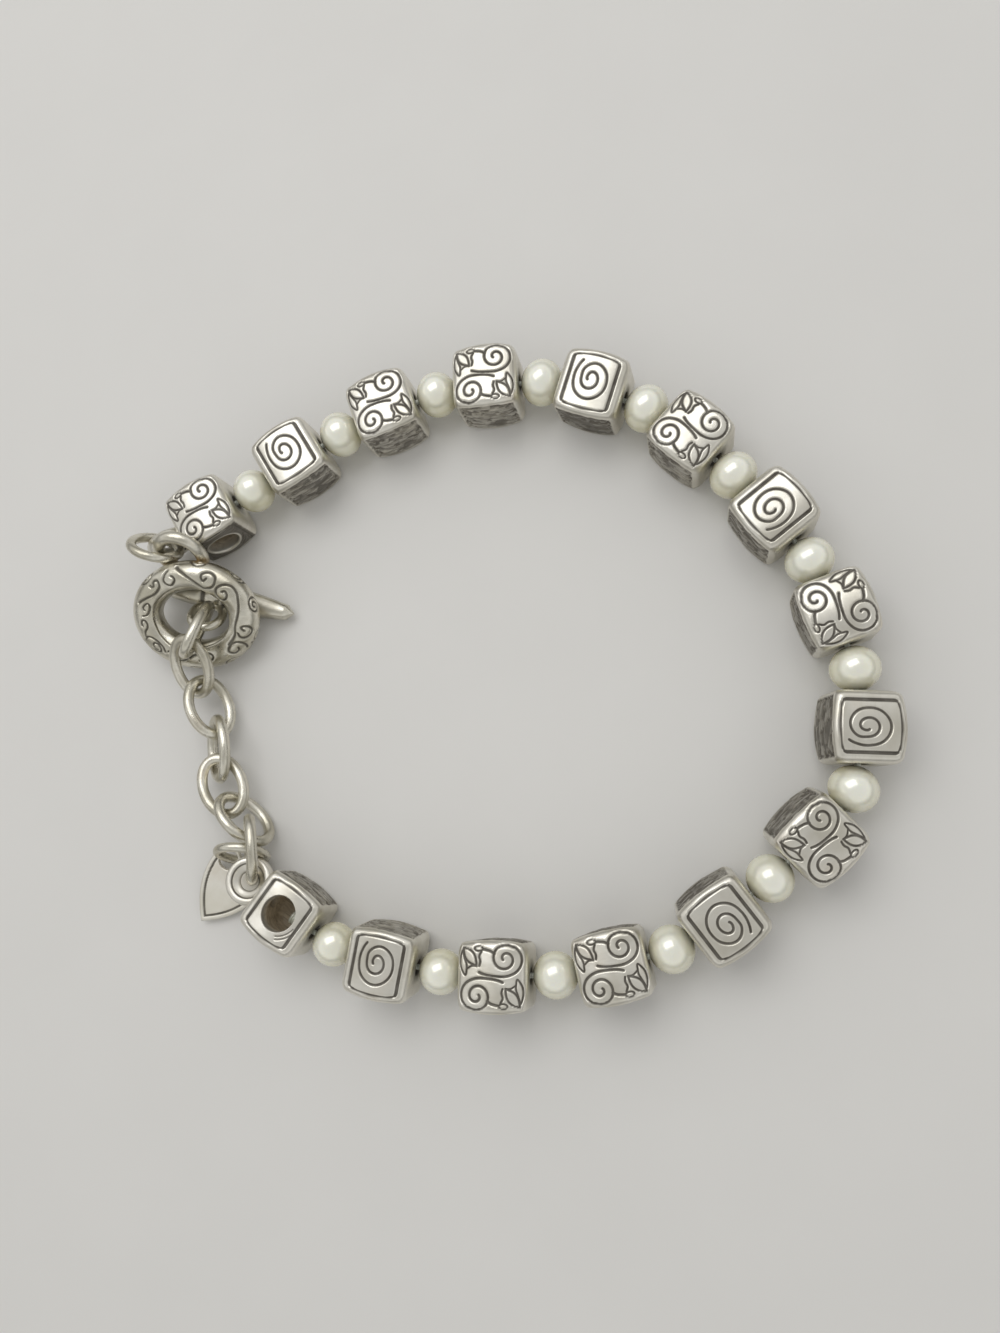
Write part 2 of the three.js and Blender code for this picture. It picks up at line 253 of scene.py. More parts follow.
# The spiral round its centre: angle in degrees and radius.
SPIRAL_CENTRE = (-0.05, 0.15)
SPIRAL = [
    (175, 0.26), (130, 0.52), (81, 0.85), (5, 0.78), (-91, 0.88), (-186, 0.93), (-232, 1.36),
    (-276, 1.73), (-320, 1.74), (-359, 1.68), (-405, 1.8), (-448, 1.91), (-490, 1.8), (-534, 1.68),
    (-570, 1.86), (-596, 2.2),
]
SPIRAL_LINE = [
    (SPIRAL_CENTRE[0] + r * math.cos(math.radians(a)), SPIRAL_CENTRE[1] + r * math.sin(math.radians(a)))
    for a, r in curve(SPIRAL, 7)
]
SPIRAL_STROKES = [(SPIRAL_LINE, 0.145)]
ARM = [(2.3, 2.72), (2.75, 2.1), (2.84, 1.4), (2.6, 0.8), (2.1, 0.36), (1.3, 0.1), (0.2, 0.12), (-0.6, 0.24),
       (-1.12, 0.42)]
LOWER_LEAF = [(-2.8, 2.35), (-3.0, 1.6), (-2.93, 0.8), (-2.48, 0.14), (-2.36, 0.6), (-2.36, 1.05),
              (-2.56, 1.6), (-2.8, 2.35)]
BUD = [(-1.2 + 0.42 * math.cos(a), 2.56 + 0.24 * math.sin(a)) for a in np.linspace(0, 2 * math.pi, 17)]
# Half of the scroll design, the other half is the same turned round: lines with the half-width of each.
SCROLL_HALF = [
    (spiral_line((1.33, 1.68), 0.22, 0.82, 205, 1.35) + curve(ARM), 0.145),
    (curve([(0.3, 2.1), (-0.1, 2.35), (-0.75, 2.5)]), 0.15),
    (BUD, 0.1),
    (leaf((-2.72, 2.66), (-1.38, 0.98), 0.46), 0.125),
    (curve([(-0.95, 2.25), (-1.14, 1.85), (-1.03, 1.4), (-1.12, 1.0)]), 0.125),
    (curve(LOWER_LEAF), 0.11),
    (curve([(-1.38, 0.98), (-1.85, 0.98), (-2.3, 0.7)]), 0.1),
]
SCROLL_STROKES = SCROLL_HALF + [(half_turn(line), width) for line, width in SCROLL_HALF]


def stroke_depth(x, y, strokes, depth):
    """Round-bottomed grooves along the strokes; half-width in millimetres goes with each one."""
    out = np.zeros(x.shape)
    for line, half in strokes:
        xs, ys = zip(*line)
        near = (x > min(xs) - 0.5) & (x < max(xs) + 0.5) & (y > min(ys) - 0.5) & (y < max(ys) + 0.5)
        d = segment_distance(x[near], y[near], line)
        out[near] = np.maximum(out[near], depth * (1 - smooth(0.25 * half, 1.25 * half, d)))
    return out


def frame_depth(x, y):
    """A square frame, bowed on the sides along the thread, its line wider on the other two."""
    tall = FRAME_TALL + FRAME_BOW * (1 - (x / FRAME_HALF) ** 2)
    rounding = 0.3
    qx, qy = np.abs(x) - FRAME_HALF + rounding, np.abs(y) - tall + rounding
    inside = np.minimum(np.maximum(qx, qy), 0)
    distance = np.abs(inside + np.hypot(np.maximum(qx, 0), np.maximum(qy, 0)) - rounding)
    half = np.where(qx > qy, 0.19, 0.13)
    return FRAME_DEPTH * (1 - smooth(0.3, 1.2, distance / half))


def window_arcs(x, y):
    """Two short scratches that follow the rim of the window."""
    arcs = []
    for radius in (2.128, 2.432):
        arcs.append(([(radius * math.cos(a), radius * math.sin(a)) for a in np.linspace(2.1, 3.0, 9)], 0.11))
    return stroke_depth(x, y, arcs, 0.1)


def design_depth(kind, x, y):
    """Engraved depth on a face, x along the thread and y across."""
    if kind == "scroll":
        return stroke_depth(x, y, SCROLL_STROKES, STROKE_DEPTH)
    if kind.endswith("window"):
        return np.maximum(frame_depth(x, y), window_arcs(x, y))
    sign = -1 if kind == "spiral_turned" else 1
    return np.maximum(frame_depth(x, y), stroke_depth(sign * x, sign * y, SPIRAL_STROKES, STROKE_DEPTH))


# A hammered side: half-lengths of its incised border along and across the thread, and the border's bow.
BARK_REACH, BARK_TALL, BARK_BOW = 2.6, 2.5, 0.35


def bark_depth(x, y, seed):
    """Short crooked cuts inside an incised border: the depth, the panel's mask for oxide with a painted dark
    reflection, and where its cuts are.
    """
    wide = BARK_TALL + BARK_BOW * (1 - (x / 2.8) ** 2)
    along, across = np.abs(x), np.abs(y)
    inside = np.minimum(smooth(BARK_REACH + 0.35, BARK_REACH + 0.1, along),
                        smooth(wide + 0.12, wide - 0.12, across))
    warp = value_noise(x * 0.8 + 5, y * 0.8 + 40, seed + 1) * 1.4
    long_cut = value_noise(x * 0.75 + warp + 7, y * 3.0 + 1.6 * warp + 31, seed)
    cross_cut = value_noise(x * 2.4 + 3 + warp, y * 1.7 + 11, seed + 5)
    cut = smooth(0.46, 0.7, 0.72 * long_cut + 0.42 * cross_cut)
    border = 1 - smooth(0.05, 0.16, np.abs(np.maximum(along - BARK_REACH, across - wide + 0.25)))
    return inside * (0.06 + 0.18 * cut) + 0.12 * border, np.maximum(inside, 0.8 * border), cut


# ---- square-barrel bead ----
def bead_columns(top, bottom, outer, inner, corner):
    """Round the section: the flat part, the corner part and the face number of each column."""
    faces = [("top", (0, 1), (1, 0), top), ("outer", (1, 0), (0, -1), outer),
             ("bottom", (0, -1), (-1, 0), bottom), ("inner", (-1, 0), (0, 1), inner)]
    flat, rounded, face = [], [], []
    for k, (name, normal, along, count) in enumerate(faces):
        normal, along = np.array(normal, float), np.array(along, float)
        for s in np.linspace(-1, 1, count):
            flat.append(normal + along * s)
            rounded.append(normal)
            face.append(k)
        for a in np.linspace(0, math.pi / 2, corner + 1)[1:-1]:
            flat.append(normal + along)
            rounded.append(normal * math.cos(a) + along * math.sin(a))
            face.append(k if a < math.pi / 4 else (k + 1) % 4)
    return np.array(flat), np.array(rounded), np.array(face)


def bead_rows(rows):
    """Place along the thread and inset of each row, both rims rounded."""
    reach = BEAD_LENGTH / 2 - BEAD_RIM
    bend = np.radians([5, 10, 15, 20, 25, 32, 41, 52, 64, 77, 90])
    past, drop = reach + BEAD_RIM * np.sin(bend), BEAD_RIM * (1 - np.cos(bend))
    x = np.concatenate([-past[::-1], np.linspace(-reach, reach, rows), past])
    return x, np.concatenate([drop[::-1], np.zeros(rows), drop])


def end_rows(rim, sign):
    """Rows from a rim across the end face and into the bore."""
    angle = np.arctan2(rim[:, 2], rim[:, 1])
    out = []
    for blend, radius, dish in ((0.5, BEAD_BORE + 0.5, 0.0), (1.0, BEAD_BORE + 0.12, 0.05),
                                (1.0, BEAD_BORE, 0.3)):
        target = np.column_stack([np.cos(angle) * radius, np.sin(angle) * radius])
        out.append(np.column_stack([rim[:, 0] - sign * dish, rim[:, 1:] * (1 - blend) + target * blend]))
    return out


def painted_shade_panel(x, y):
    """Painted shade over a face, clear of the window's rim."""
    panel = np.minimum(smooth(2.9, 2.7, np.abs(x)), smooth(2.75, 2.55, np.abs(y)))
    return panel * smooth(WINDOW + 0.16, WINDOW + 0.36, np.hypot(x, y))


def face_marks(designs, face, x, yz, seed):
    """Depth, the mask of oxide with painted dark reflection and shade, and cuts over the four long faces."""
    depth, bark_and_shade, cuts = np.zeros(x.shape), np.zeros(x.shape), np.zeros(x.shape)
    across = [yz[..., 0], -yz[..., 1], -yz[..., 0], yz[..., 1]]
    for k in range(4):
        pick = face == k
        y = across[k][:, pick]
        if k in designs:
            depth[:, pick] = design_depth(designs[k], x[:, pick], y)
            # The window face is painted with shade: the panel mask and the wear mark both carry it.
            if designs[k] == "painted_shade_window":
                bark_and_shade[:, pick] = painted_shade_panel(x[:, pick], y)
                cuts[:, pick] = 1.0
        else:
            depth[:, pick], bark_and_shade[:, pick], cuts[:, pick] = bark_depth(x[:, pick], y, seed + 17 * k)
    return depth, bark_and_shade, cuts


def bead_part(designs, rows=84, top=84, bottom=24, outer=38, inner=38, corner=9, seed=1):
    """A bead with engraved faces; designs maps a face (0 top, 1 outer, 2 bottom, 3 inner) to its design."""
    flat, rounded, face = bead_columns(top, bottom, outer, inner, corner)
    x, inset = bead_rows(rows)
    width = BEAD_MID - (BEAD_MID - BEAD_END) * (2 * x / BEAD_LENGTH) ** 2
    c = BEAD_CORNER * width / BEAD_MID
    f = width / 2 - c - inset
    yz = f[:, None, None] * flat[None] + c[:, None, None] * rounded[None]
    xx = np.repeat(x[:, None], len(face), 1)
    depth, bark_and_shade, cuts = face_marks(designs, face, xx, yz, seed)
    depth *= smooth(BEAD_LENGTH / 2, BEAD_LENGTH / 2 - 0.25, np.abs(xx))
    wobble = value_noise(xx * 0.55 + 20, yz[..., 0] * 0.5 + yz[..., 1] * 0.45 + 20, seed + 9)
    yz = yz - (depth + 0.03 + 0.06 * wobble)[..., None] * rounded[None]
    body = np.concatenate([xx[..., None], yz], -1)

    right, left = end_rows(body[-1], 1), end_rows(body[0], -1)[::-1]
    points = np.concatenate([np.array(left), body, np.array(right)])
    pad, count = len(left), len(x)
    values = {key: np.zeros(points.shape[:2]) for key in ("groove", "bark_and_shade", "wear")}
    values["groove"][pad:pad + count] = np.clip(depth / STROKE_DEPTH, 0, 1) * (1 - bark_and_shade)
    values["groove"][[0, 1, -2, -1]] = [[1.0], [0.5], [0.5], [1.0]]
    # On hammered panels these marks carry oxide with a painted dark reflection; on the window face they
    # carry painted shade.
    values["bark_and_shade"][pad:pad + count] = bark_and_shade
    values["wear"][pad:pad + count] = cuts * bark_and_shade
    return grid(points, wrap_rows=True, **values)


# ---- rings, lathed and flat pieces ----
def ring_part(a, b, wire, turns=72, sides=20, shape=None, seed=0, uneven=0.02, stain=0.15, height=None):
    """Closed ring on an ellipse in XY; shape(around, section) gives the engraved and the dished depth."""
    t = np.linspace(0, 2 * math.pi, turns, endpoint=False)[:, None]
    q = np.linspace(0, 2 * math.pi, sides, endpoint=False)[None, :]
    nx, ny = np.cos(t) / a, np.sin(t) / b
    length = np.hypot(nx, ny)
    nx, ny = nx / length, ny / length
    thin = 1 - uneven - uneven * (value_noise(t * 3 + seed, q * 1.3 + seed, 40 + seed) * 2 - 1)
    depth, dish = shape(t, q) if shape else (np.zeros((turns, sides)), 0.0)
    out = (wire * thin - depth - dish) * np.cos(q)
    up = ((height or wire) * thin - depth - dish) * np.sin(q)
    points = np.stack([a * np.cos(t) + nx * out, b * np.sin(t) + ny * out, up + 0 * t], -1)
    groove = np.clip((depth - 0.02) / stain, 0, 1)
    return grid(points, wrap_rows=True, groove=groove)


def lathe_part(profile, sides=36, shape=None, closed=False):
    """Turned about X, from rows of (x, radius); shape(x, angle) gives the engraved depth."""
    p = np.array(profile, float)
    q = np.linspace(0, 2 * math.pi, sides, endpoint=False)[None, :]
    x, r = p[:, 0][:, None] + 0 * q, p[:, 1][:, None] + 0 * q
    depth = shape(x, q + 0 * x) if shape else np.zeros(x.shape)
    r = np.maximum(r - depth, 0.0)
    points = np.stack([x, r * np.cos(q), r * np.sin(q)], -1)
    return grid(points, wrap_rows=closed, groove=np.clip(depth / STROKE_DEPTH, 0, 1))


def tube_part(path, radius, sides=10):
    """A wire along a list of points, with closed ends."""
    p = np.array(path, float)
    tangent = np.gradient(p, axis=0)
    tangent /= np.linalg.norm(tangent, axis=1)[:, None]
    up = np.array([0.0, 0.0, 1.0])
    side = np.cross(tangent, up)
    side /= np.linalg.norm(side, axis=1)[:, None]
    lift = np.cross(side, tangent)
    q = np.linspace(0, 2 * math.pi, sides, endpoint=False)
    size = np.full(len(p), radius)
    size[0] = size[-1] = 0.01
    rings = p[:, None] + size[:, None, None] * (
        side[:, None] * np.cos(q)[None, :, None] + lift[:, None] * np.sin(q)[None, :, None])
    return grid(rings)


# ---- materials ----
def new_material(name):
    material = bpy.data.materials.new(name)
    material.use_nodes = True
    tree = material.node_tree
    tree.nodes.clear()
    return material, tree


class Nodes:
    """Short names for building a node tree."""

    def __init__(self, tree):
        self.tree = tree

    def add(self, kind, inputs=None, **settings):
        node = self.tree.nodes.new(kind)
        for key, value in settings.items():
            setattr(node, key, value)
        for key, value in (inputs or {}).items():
            if isinstance(value, bpy.types.NodeSocket):
                self.tree.links.new(value, node.inputs[key])
            else:
                node.inputs[key].default_value = value
        return node

    def math(self, operation, a, b=0.0, clamp=False):
        return self.add("ShaderNodeMath", {0: a, 1: b}, operation=operation, use_clamp=clamp).outputs[0]

    def plus(self, a, b):
        return self.math("ADD", a, b)

    def times(self, a, b):
        return self.math("MULTIPLY", a, b)

    def noise(self, vector, scale, detail=4.0, rough=0.55, distortion=0.0):
        return self.add("ShaderNodeTexNoise", {
            "Vector": vector, "Scale": scale, "Detail": detail, "Roughness": rough, "Distortion": distortion,
        }).outputs["Fac"]

    def ramp(self, value, low, high):
        return self.add("ShaderNodeMapRange", {"Value": value, "From Min": low, "From Max": high}).outputs[0]

    def mix(self, factor, a, b):
        node = self.add("ShaderNodeMix", data_type="RGBA")
        for socket, value in ((node.inputs[0], factor), (node.inputs[6], a), (node.inputs[7], b)):
            if isinstance(value, bpy.types.NodeSocket):
                self.tree.links.new(value, socket)
            else:
                socket.default_value = value
        return node.outputs[2]

    def attribute(self, name):
        return self.add("ShaderNodeAttribute", attribute_name=name).outputs["Fac"]

    def place(self):
        """The piece's own coordinates, each piece shifted to its own part of the noise."""
        own = self.add("ShaderNodeAttribute", attribute_name="local").outputs["Vector"]
        chance = self.add("ShaderNodeObjectInfo").outputs["Random"]
        shift = self.add("ShaderNodeCombineXYZ", {"X": chance, "Y": chance}).outputs[0]
        return self.add("ShaderNodeVectorMath", {0: own, 1: shift}, operation="ADD").outputs[0]

    def output(self, shader):
        self.add("ShaderNodeOutputMaterial", {"Surface": shader})


# Colours of old oxide: the chamber's walls, tarnish on bright silver, the hammered sides (oxide with a
# painted dark reflection), a soldered joint.
CHAMBER_BROWN, CHAMBER_OXIDE = (0.80, 0.70, 0.54, 1), (0.44, 0.37, 0.27, 1)
TARNISH = (0.52, 0.43, 0.29, 1)
BARK_OXIDE_AND_SHADE = (0.38, 0.35, 0.29, 1)
SOLDER_BROWN = (0.42, 0.33, 0.2, 1)


def silver_material(name, bright, shade, oxide, roughness,
                    wear=0.35, bark_oxide_and_shade=0.78, warm=0.3, relief=0.00006):
    """Antiqued silver: bright and shaded patches, tarnish, oxide where the mesh is cut, and oxide with
    painted dark reflection and painted shade where it is marked.
    """
    material, tree = new_material(name)
    n = Nodes(tree)
    where = n.place()
    per_object = n.add("ShaderNodeObjectInfo").outputs["Random"]
    fine = n.noise(where, 900.0, 5.0, 0.6)
    broad = n.noise(where, 260.0, 3.0, 0.5)
    grain = n.noise(where, 3500.0, 3.0, 0.6)
    stretched = n.add("ShaderNodeMapping", {"Vector": where, "Scale": (0.3, 1.9, 1.9)}).outputs[0]
    streak = n.noise(stretched, 1500.0, 5.0, 0.62, 0.6)
    groove, bark_and_shade, cut_oxide_and_shade = n.attribute("groove"), n.attribute("bark_and_shade"), n.attribute("wear")
    chamber, solder = n.attribute("chamber"), n.attribute("solder")

    # The bright metal.
    tint = n.mix(n.ramp(broad, 0.35, 0.68), shade, bright)
    tint = n.mix(n.times(n.ramp(fine, 0.52, 0.75), wear), tint, shade)
    tint = n.mix(n.times(per_object, 0.12), tint, shade)
    tint = n.mix(n.times(n.ramp(broad, 0.56, 0.72), warm), tint, TARNISH)
    tint = n.mix(n.times(n.ramp(streak, 0.5, 0.72), wear), tint, shade)
    # Hammered sides and the window face are tinted dark: partly oxide, partly painted dark reflection and
    # shade.
    patches = n.plus(0.3, n.times(n.ramp(streak, 0.4, 0.6), 0.55))
    tint = n.mix(n.math("MULTIPLY", bark_and_shade, patches, True), tint, BARK_OXIDE_AND_SHADE)

    # Oxide in the engraving; on the hammered sides oxide with a painted dark reflection, and painted shade
    # on the window face.
    dark = n.math("MULTIPLY", n.ramp(groove, 0.12, 0.75), n.plus(0.72, n.times(fine, 0.4)), True)
    stain = n.plus(n.times(cut_oxide_and_shade, 0.5), n.times(n.ramp(streak, 0.36, 0.66), 0.55))
    stain = n.plus(stain, n.times(n.ramp(broad, 0.42, 0.62), 0.3))
    stain = n.plus(stain, n.times(per_object, 0.45))
    stain = n.math("MULTIPLY", bark_and_shade, stain, True)
    dark = n.math("MAXIMUM", dark, n.times(stain, bark_oxide_and_shade))
    colour = n.mix(dark, tint, oxide)
    colour = n.mix(n.math("MULTIPLY", solder, n.ramp(fine, 0.3, 0.6), True), colour, SOLDER_BROWN)
    walls = n.mix(n.ramp(streak, 0.35, 0.65), CHAMBER_BROWN, CHAMBER_OXIDE)
    colour = n.mix(n.times(chamber, 0.9), colour, walls)

    metal = n.math("SUBTRACT", 1.0, n.times(dark, 0.65))
    metal = n.math("SUBTRACT", metal, n.times(chamber, 0.9), True)
    rough = n.plus(roughness, n.times(fine, 0.18))
    rough = n.math("ADD", rough, n.times(dark, 0.22), True)
    height = n.plus(n.times(fine, 0.5), n.times(grain, 0.25))
    height = n.plus(height, n.times(n.times(streak, bark_and_shade), 1.5))
    bump = n.add("ShaderNodeBump", {"Height": height, "Strength": 0.35, "Distance": relief}).outputs[0]
    shader = n.add("ShaderNodeBsdfPrincipled", {
        "Base Color": colour, "Metallic": metal, "Roughness": rough, "Normal": bump,
    })
    n.output(shader.outputs[0])
    return material


def pearl_material():
    """Nacre: painted light on top, creamy, and painted shade towards the ground, greener; faintly patchy,
    under a clear glossy skin.
    """
    material, tree = new_material("pearl_nacre")
    n = Nodes(tree)
    where = n.place()
    patch = n.noise(where, 320.0, 3.0, 0.5)
    fine = n.noise(where, 1400.0, 3.0, 0.5)
    # Painted light and shade: lighter and creamier the higher the point, darker and greener low down.
    own = n.add("ShaderNodeAttribute", attribute_name="local").outputs["Vector"]
    high = n.add("ShaderNodeSeparateXYZ", {0: own}).outputs[2]
    painted_top_light = n.ramp(n.plus(high, n.times(patch, 0.0009)), 0.0009, 0.0028)
    colour = n.mix(painted_top_light, (0.70, 0.67, 0.46, 1), (0.97, 0.97, 0.86, 1))
    colour = n.mix(n.times(n.ramp(patch, 0.5, 0.7), 0.35), colour, (0.93, 0.96, 0.86, 1))
    colour = n.mix(n.times(n.ramp(fine, 0.5, 0.8), 0.3), colour, (0.96, 0.90, 0.86, 1))
    height = n.plus(patch, n.times(fine, 0.3))
    bump = n.add("ShaderNodeBump", {"Height": height, "Strength": 0.2, "Distance": 0.00008}).outputs[0]
    shader = n.add("ShaderNodeBsdfPrincipled", {
        "Base Color": colour, "Roughness": n.plus(0.17, n.times(patch, 0.12)), "Normal": bump,
        "Metallic": 0.22, "Specular IOR Level": 0.9,
        "Subsurface Weight": 0.2, "Subsurface Radius": (0.8, 0.7, 0.5), "Subsurface Scale": 0.0012,
        "Coat Weight": 1.0, "Coat Roughness": 0.09, "Coat IOR": 1.7,
    })
    n.output(shader.outputs[0])
    return material


def wire_material():
    """Twisted steel thread and crimps, fine strands with dull patches."""
    material, tree = new_material("beading_wire_steel")
    n = Nodes(tree)
    where = n.place()
    strands = n.add("ShaderNodeTexWave", {"Vector": where, "Scale": 900.0, "Distortion": 1.0}).outputs["Fac"]
    stain = n.noise(where, 600.0)
    colour = n.mix(n.ramp(stain, 0.4, 0.7), (0.60, 0.63, 0.54, 1), (0.90, 0.91, 0.82, 1))
    bump = n.add("ShaderNodeBump", {"Height": strands, "Strength": 0.6, "Distance": 0.00005}).outputs[0]
    shader = n.add("ShaderNodeBsdfPrincipled", {
        "Base Color": colour, "Metallic": 0.3, "Roughness": n.plus(0.3, n.times(stain, 0.2)), "Normal": bump,
    })
    n.output(shader.outputs[0])
    return material


silver = silver_material("antiqued_silver", (0.90, 0.88, 0.82, 1), (0.66, 0.63, 0.55, 1),
                         (0.075, 0.065, 0.052, 1), 0.25)
fittings = silver_material("fittings_silver", (0.90, 0.88, 0.80, 1), (0.54, 0.51, 0.42, 1),
                           (0.10, 0.09, 0.07, 1), 0.20, wear=0.65, warm=0.42, relief=0.00016)
charm_silver = silver_material("charm_silver", (0.94, 0.92, 0.86, 1), (0.80, 0.77, 0.68, 1),
                               (0.10, 0.09, 0.07, 1), 0.42, wear=0.2)
nacre = pearl_material()
steel = wire_material()


# ---- the strand, laid as the CAD lays it ----
def rest_height(lean):
    """Height of a bead's centre when it lies on its lowest edge or face."""
    tip = abs(math.radians(lean))
    s = (1 - 2 * BEAD_RIM / BEAD_LENGTH) / 5
    half = (BEAD_MID - (BEAD_MID - BEAD_END) * s * s) / 2
    corner = BEAD_CORNER * half * 2 / BEAD_MID
    return (half - corner) * (math.cos(tip) + math.sin(tip)) + corner


def crimp_and_tail(centre, inward):
    """Centre of the crimp inside an end bead, the thread's end behind it, and the bead's mouth."""
    at = BEAD_LENGTH / 2 - CAP_WALL - CRIMP_INSET - CRIMP_LENGTH / 2
    tail = centre + inward * (at - CRIMP_LENGTH / 2 - CRIMP_TAIL)
    return centre + inward * at, [tail, centre + inward * BEAD_LENGTH / 2]


def lay_strand():
    """Beads (centre, heading, roll, design), pearls and crimps (centre, heading), and the thread's route."""
    beads, pearls, crimps, thread = [], [], [], []
    heading, face_point = START_HEADING, None
    for i, (turn, lean, design) in enumerate(STRAND):
        last = heading
        heading += turn
        forward = direction(heading)
        height = rest_height(lean)
        if i == 0:
            centre = np.array([START_X, START_Y, height])
        else:
            middle = (last + heading) / 2
            across = direction(middle)
            pearl = face_point + across * (THREAD_GAP + PEARL_LENGTH / 2)
            pearl = pearl + direction(middle + 90) * PEARL_SWAY * math.sin(math.radians(-turn) / 2)
            pearl[2] = (face_point[2] + height) / 2
            pearls.append((pearl, middle))
            thread.append(pearl)
            centre = face_point + across * (2 * THREAD_GAP + PEARL_LENGTH) + forward * BEAD_LENGTH / 2
            centre[2] = height
        if i == 0:
            crimp, end = crimp_and_tail(centre, forward)
            crimps.append((crimp, heading))
            thread += end
            beads.append((centre, heading + 180, FIRST_BEAD_ROLL, design))
        elif i == len(STRAND) - 1:
            crimp, end = crimp_and_tail(centre, -forward)
            crimps.append((crimp, heading))
            thread += end[::-1]
            beads.append((centre, heading, -lean, design))
        else:
            thread += [centre - forward * 0.35 * BEAD_LENGTH, centre + forward * 0.35 * BEAD_LENGTH]
            beads.append((centre, heading, -lean, design))
        face_point = centre + forward * BEAD_LENGTH / 2
    return beads, pearls, crimps, thread


beads, pearls, crimps, thread = lay_strand()

# The CAD frame puts the box's centre on the Z axis. The fourth bead lies flat, so its box's centre is
# its own.
low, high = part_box("silver_bead_04")
SHIFT = (low + high) / 2 / MM - Vector(beads[3][0])
SHIFT.z = 0.0


# ---- silver beads and pearls ----
bead_meshes = {}
for k, kind in enumerate(("scroll", "spiral", "spiral_turned")):
    other = "spiral" if kind == "scroll" else "scroll"
    bead_meshes[kind] = make_mesh(f"bead_{kind}", [bead_part({0: kind, 2: other}, seed=3 + k)], silver)

for number, (centre, yaw, roll, design) in enumerate(beads[1:-1], start=2):
    piece = place_object(f"bead_{number:02d}", bead_meshes[design], place_matrix(*centre, yaw, 0, roll))
    finish_piece(piece, f"silver_bead_{number:02d}")

# Width of each pearl, from the first bead on.
PEARL_WIDTHS = [4.7, 4.85, 4.8, 4.9, 4.95, 4.95, 4.85, 4.8, 4.75, 4.6, 4.6, 4.5, 4.45, 4.4]


def pearl_part(width, number):
    """A slightly flattened, uneven pearl with a countersunk bore."""
    mouth = math.asin(2 * PEARL_BORE / PEARL_WIDTH)
    half = PEARL_LENGTH / 2
    profile = [(-half * TURNED_FIT * math.cos(a), width / 2 * math.sin(a))
               for a in np.linspace(mouth, math.pi - mouth, 26)]
    profile += [(half - 0.5, PEARL_BORE), (-half + 0.5, PEARL_BORE)]

    def lumps(x, q):
        return 0.035 * value_noise(x * 0.7 + 9 + number, np.cos(q) * 1.1 + np.sin(q) * 0.9 + 8, 70 + number)

    return lathe_part(profile, 36, lumps, closed=True)


for i, (centre, yaw) in enumerate(pearls):
    mesh = make_mesh(f"pearl_mesh_{i + 1:02d}", [pearl_part(PEARL_WIDTHS[i], i)], nacre)
    piece = place_object(f"pearl_bead_{i + 1:02d}", mesh, place_matrix(*centre, yaw))
    finish_piece(piece, f"pearl_{i + 1:02d}")


# ---- end beads with a window, a chamber and an eye ----
def eye_part():
    """Thick round eye: a raised rim, a dished face on both sides and a small hole."""
    inner, outer, top = EYE_RADIUS - EYE_WIRE, EYE_RADIUS + EYE_WIRE + 0.18, EYE_WIRE * SOLDERED_FIT
    half = [
        (0.0, inner), (0.12, inner + 0.05), (0.2, inner + 0.2), (0.3, inner + 0.45), (0.42, inner + 0.66),
        (0.5, inner + 0.74), (0.62, inner + 0.8), (top, inner + 0.9), (top, outer - 0.34),
        (0.6, outer - 0.17), (0.42, outer - 0.06), (0.22, outer - 0.01), (0.0, outer),
    ]
    profile = half + [(-z, r) for z, r in half[-2:0:-1]]
    points, faces, values = lathe_part(profile, 72, closed=True)
    height, radius = np.abs(points[:, 0]), np.hypot(points[:, 1], points[:, 2])
    # Darker along the rim's crease and towards the hole.
    values["groove"] = 0.85 * smooth(0.1, 0.0, np.abs(radius - inner - 0.76)) * (height > 0.3)
    values["groove"] = np.maximum(values["groove"], 0.45 * smooth(inner + 0.35, inner, radius))
    points = points[:, [1, 2, 0]] + np.array([BEAD_LENGTH / 2 + EYE_REACH, 0, 0])
    return points, faces, values


def add_cutter(name, part):
    """A plain object to cut with."""
    mesh = bpy.data.meshes.new(name)
    mesh.from_pydata((part[0] * MM).tolist(), [], part[1])
    turn_outwards(mesh, weld=1e-7)
    obj = bpy.data.objects.new(name, mesh)
    bpy.context.scene.collection.objects.link(obj)
    return obj


def window_cutter():
    """A rounded chamber with a round window up through the top face."""
    half, sides = BEAD_END / 2 - CAP_WALL, 56
    profile = [
        (-half, 0.01), (-half, half * 0.75), (-half * 0.8, half), (half * 0.5, half),
        (half * 0.8, half * 0.95), (half * 0.98, WINDOW), (BEAD_MID / 2 - 0.35, WINDOW),
        (BEAD_MID / 2 - 0.05, WINDOW + 0.12), (BEAD_MID / 2 + 0.5, WINDOW + 0.3), (BEAD_MID / 2 + 0.5, 0.01),
    ]
    points, faces, values = lathe_part(profile, sides)
    last = len(points) - 1
    faces = faces + [tuple(range(sides)), tuple(range(last, last - sides, -1))]
    return points[:, [1, 2, 0]], faces, values


def make_end_bead(name, designs, inner):
    """An engraved bead with its chamber and window cut out, joined to its eye; inner is for bead_part."""
    mesh = make_mesh(name, [bead_part(designs, inner=inner, seed=21)], silver)
    obj = bpy.data.objects.new(name + "_work", mesh)
    bpy.context.scene.collection.objects.link(obj)
    cutter = add_cutter(name + "_cutter", window_cutter())
    modifier = obj.modifiers.new("cut", "BOOLEAN")
    modifier.operation, modifier.object, modifier.solver = "DIFFERENCE", cutter, "EXACT"
    bpy.context.view_layer.update()
    cut = bpy.data.meshes.new_from_object(obj.evaluated_get(bpy.context.evaluated_depsgraph_get()))
    bpy.data.objects.remove(obj)
    bpy.data.objects.remove(cutter)
    eye = make_mesh(name + "_eye", [eye_part()], silver)
    joined = bmesh.new()
    joined.from_mesh(cut)
    joined.from_mesh(eye)
    joined.to_mesh(cut)
    joined.free()
    cut.name = name
    darken_chamber(cut)
    return cut


